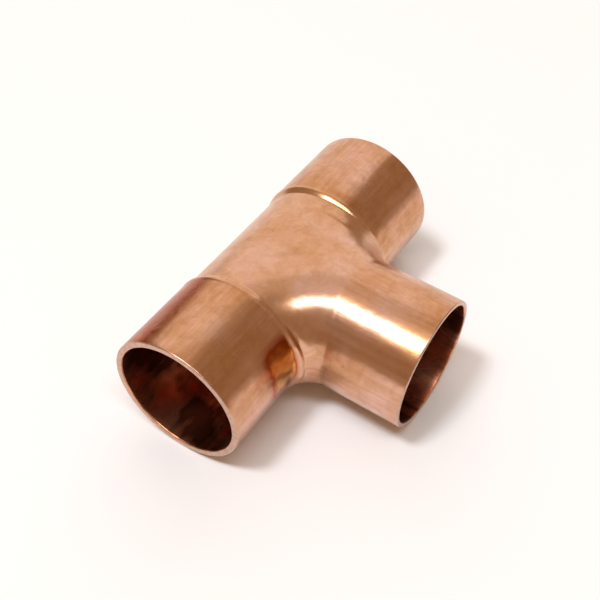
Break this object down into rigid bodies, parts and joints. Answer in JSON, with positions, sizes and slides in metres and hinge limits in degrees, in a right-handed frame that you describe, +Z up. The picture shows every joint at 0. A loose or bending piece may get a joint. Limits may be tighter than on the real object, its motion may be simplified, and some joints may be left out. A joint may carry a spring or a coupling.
{
  "type": "copper tube tee fitting",
  "caption": "Equal tee for solder-joint copper tube: a straight run with a branch formed out of its side, and a socket with a tube stop at each end.",
  "frame": {"origin": "on the plane the tee lies on, under the middle of its outline; the axes cross at x 0, y 6.63 mm, z 8.94 mm", "axes": "X along the run, the branch points along -Y, +Z up with the tee lying flat"},
  "size_m": [0.0444, 0.0312, 0.0179],
  "materials": {
    "copper": "satin"
  },
  "bodies": {
    "root": {"tee_body": "copper"}
  },
  "joints": []
}
